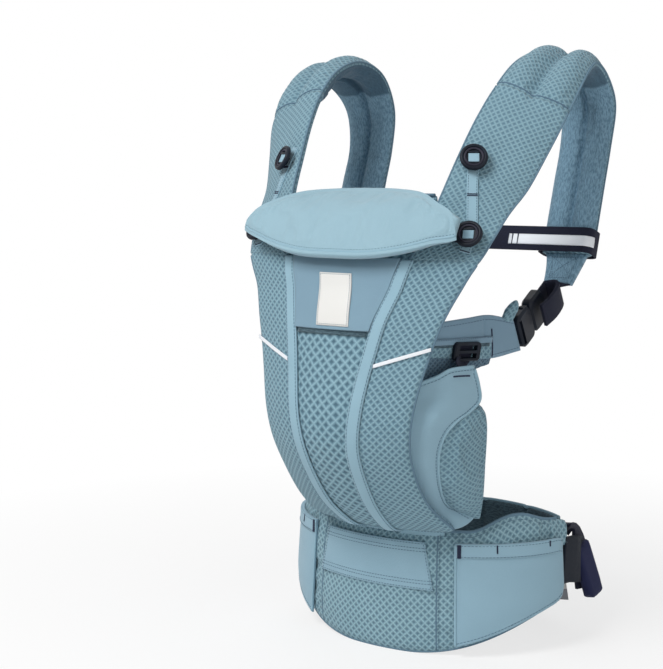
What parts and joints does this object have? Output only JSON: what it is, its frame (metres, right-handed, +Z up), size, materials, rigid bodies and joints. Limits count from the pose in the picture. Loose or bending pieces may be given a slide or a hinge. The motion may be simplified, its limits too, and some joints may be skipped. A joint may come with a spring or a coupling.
{
  "type": "soft baby carrier",
  "caption": "Padded fabric front carrier for a baby in its worn shape, with a waist belt, a curved body panel, arched shoulder straps and side-release buckles.",
  "frame": {"origin": "centre of the waist belt's ring at the height of the belt's lowest edge", "axes": "+Z up along the wearer's torso, -Y forward out of the body panel, +X to the right of a viewer who faces the panel"},
  "size_m": [0.3296, 0.3176, 0.5681],
  "materials": {
    "mesh_fabric": "knitted mesh",
    "smooth_fabric": "smooth weave",
    "shaded_fabric": "smooth weave",
    "black_webbing": "woven webbing",
    "black_plastic": "moulded",
    "reflective_tape": "reflective",
    "white_label": "blank woven label"
  },
  "bodies": {
    "carrier": {"waist_belt": "mesh_fabric", "belt_sleeve": "smooth_fabric", "belt_pocket_right": "smooth_fabric", "belt_pocket_left": "smooth_fabric", "lumbar_pad": "mesh_fabric", "panel_center": "mesh_fabric", "panel_side_right": "mesh_fabric", "panel_side_left": "mesh_fabric", "binding_tape_right": "smooth_fabric", "binding_tape_left": "smooth_fabric", "bib_panel": "smooth_fabric", "label_tab": "white_label", "reflective_stripe_right": "reflective_tape", "reflective_stripe_left": "reflective_tape", "strap_front_right": "mesh_fabric", "strap_front_left": "mesh_fabric", "strap_pad_right": "mesh_fabric", "strap_pad_left": "mesh_fabric", "strap_end_tab_right": "shaded_fabric", "strap_end_tab_left": "shaded_fabric", "ring_button_upper_right": "black_plastic", "ring_button_upper_left": "black_plastic", "ring_button_lower_right": "black_plastic", "ring_button_lower_left": "black_plastic", "button_tape_right": "smooth_fabric", "button_tape_left": "smooth_fabric", "elastic_loop_right": "black_webbing", "elastic_loop_left": "black_webbing", "side_wing_right": "smooth_fabric", "side_wing_left": "smooth_fabric", "thigh_cover_right": "smooth_fabric", "thigh_cover_left": "smooth_fabric", "thigh_bolster_right": "mesh_fabric", "thigh_bolster_left": "mesh_fabric", "side_buckle_female_right": "black_plastic", "side_buckle_female_left": "black_plastic", "strap_webbing_right": "black_webbing", "strap_webbing_left": "black_webbing", "waist_buckle_female": "black_plastic", "waist_webbing_right": "black_webbing", "waist_webbing_left": "black_webbing", "care_label": "white_label"},
    "side_buckle_right_male": {"side_buckle_male_right": "black_plastic"},
    "side_buckle_right_prong_upper": {"side_buckle_prong_upper_right": "black_plastic"},
    "side_buckle_right_prong_lower": {"side_buckle_prong_lower_right": "black_plastic"},
    "side_buckle_left_male": {"side_buckle_male_left": "black_plastic"},
    "side_buckle_left_prong_upper": {"side_buckle_prong_upper_left": "black_plastic"},
    "side_buckle_left_prong_lower": {"side_buckle_prong_lower_left": "black_plastic"},
    "waist_buckle_male": {"waist_buckle_male": "black_plastic"},
    "waist_buckle_prong_upper": {"waist_buckle_prong_upper": "black_plastic"},
    "waist_buckle_prong_lower": {"waist_buckle_prong_lower": "black_plastic"},
    "head_support": {"head_support": "smooth_fabric"},
    "cross_strap": {"cross_strap_left": "black_webbing", "cross_strap_right": "black_webbing", "cross_buckle_female": "black_plastic"},
    "cross_buckle_male": {"cross_buckle_male": "black_plastic"},
    "seat_slider_right": {"seat_slider_right": "black_plastic"},
    "seat_slider_left": {"seat_slider_left": "black_plastic"}
  },
  "joints": [
    {"name": "side_buckle_right_release", "type": "slide", "parent": "carrier", "child": "side_buckle_right_male", "axis": [0, 0.8748, 0.4845], "range_m": [0, 0.014]},
    {"name": "side_buckle_right_prong_press", "type": "hinge", "parent": "side_buckle_right_male", "child": "side_buckle_right_prong_upper", "pos_m": [0.119, -0.04835, 0.32706], "axis": [1, 0, 0], "range_deg": [0, 6], "stiffness_Nm_per_rad": 0.01},
    {"name": "side_buckle_right_prong_follow", "type": "hinge", "parent": "side_buckle_right_male", "child": "side_buckle_right_prong_lower", "pos_m": [0.119, -0.03624, 0.30519], "axis": [1, 0, 0], "range_deg": [-6, 0], "stiffness_Nm_per_rad": 0.01},
    {"name": "side_buckle_left_release", "type": "slide", "parent": "carrier", "child": "side_buckle_left_male", "axis": [0, 0.8748, 0.4845], "range_m": [0, 0.014]},
    {"name": "side_buckle_left_prong_press", "type": "hinge", "parent": "side_buckle_left_male", "child": "side_buckle_left_prong_upper", "pos_m": [-0.119, -0.04835, 0.32706], "axis": [1, 0, 0], "range_deg": [0, 6], "stiffness_Nm_per_rad": 0.01},
    {"name": "side_buckle_left_prong_follow", "type": "hinge", "parent": "side_buckle_left_male", "child": "side_buckle_left_prong_lower", "pos_m": [-0.119, -0.03624, 0.30519], "axis": [1, 0, 0], "range_deg": [-6, 0], "stiffness_Nm_per_rad": 0.01},
    {"name": "waist_buckle_release", "type": "slide", "parent": "carrier", "child": "waist_buckle_male", "axis": [-0.4036, 0.9149, 0], "range_m": [0, 0.014]},
    {"name": "waist_buckle_prong_press", "type": "hinge", "parent": "waist_buckle_male", "child": "waist_buckle_prong_upper", "pos_m": [0.12551, 0.01779, 0.1028], "axis": [0.9149, 0.4036, 0], "range_deg": [0, 6], "stiffness_Nm_per_rad": 0.01},
    {"name": "waist_buckle_prong_follow", "type": "hinge", "parent": "waist_buckle_male", "child": "waist_buckle_prong_lower", "pos_m": [0.12551, 0.01779, 0.0572], "axis": [0.9149, 0.4036, 0], "range_deg": [-6, 0], "stiffness_Nm_per_rad": 0.01},
    {"name": "head_support_fold", "type": "hinge", "parent": "carrier", "child": "head_support", "pos_m": [0, -0.125, 0.436], "axis": [-1, 0, 0], "range_deg": [0, 110]},
    {"name": "cross_strap_slide", "type": "slide", "parent": "carrier", "child": "cross_strap", "axis": [0, 0.3286, 0.9445], "range_m": [0, 0.04]},
    {"name": "cross_buckle_release", "type": "slide", "parent": "cross_strap", "child": "cross_buckle_male", "axis": [1, 0, 0], "range_m": [0, 0.011]},
    {"name": "seat_width_right", "type": "slide", "parent": "carrier", "child": "seat_slider_right", "axis": [0.3582, 0.9322, -0.0525], "range_m": [-0.012, 0.012]},
    {"name": "seat_width_left", "type": "slide", "parent": "carrier", "child": "seat_slider_left", "axis": [-0.3582, 0.9322, -0.0525], "range_m": [-0.012, 0.012]}
  ],
  "couplings": [
    {"joint": "side_buckle_right_prong_follow", "follows": "side_buckle_right_prong_press", "ratio": -1},
    {"joint": "side_buckle_left_prong_follow", "follows": "side_buckle_left_prong_press", "ratio": -1},
    {"joint": "waist_buckle_prong_follow", "follows": "waist_buckle_prong_press", "ratio": -1}
  ]
}
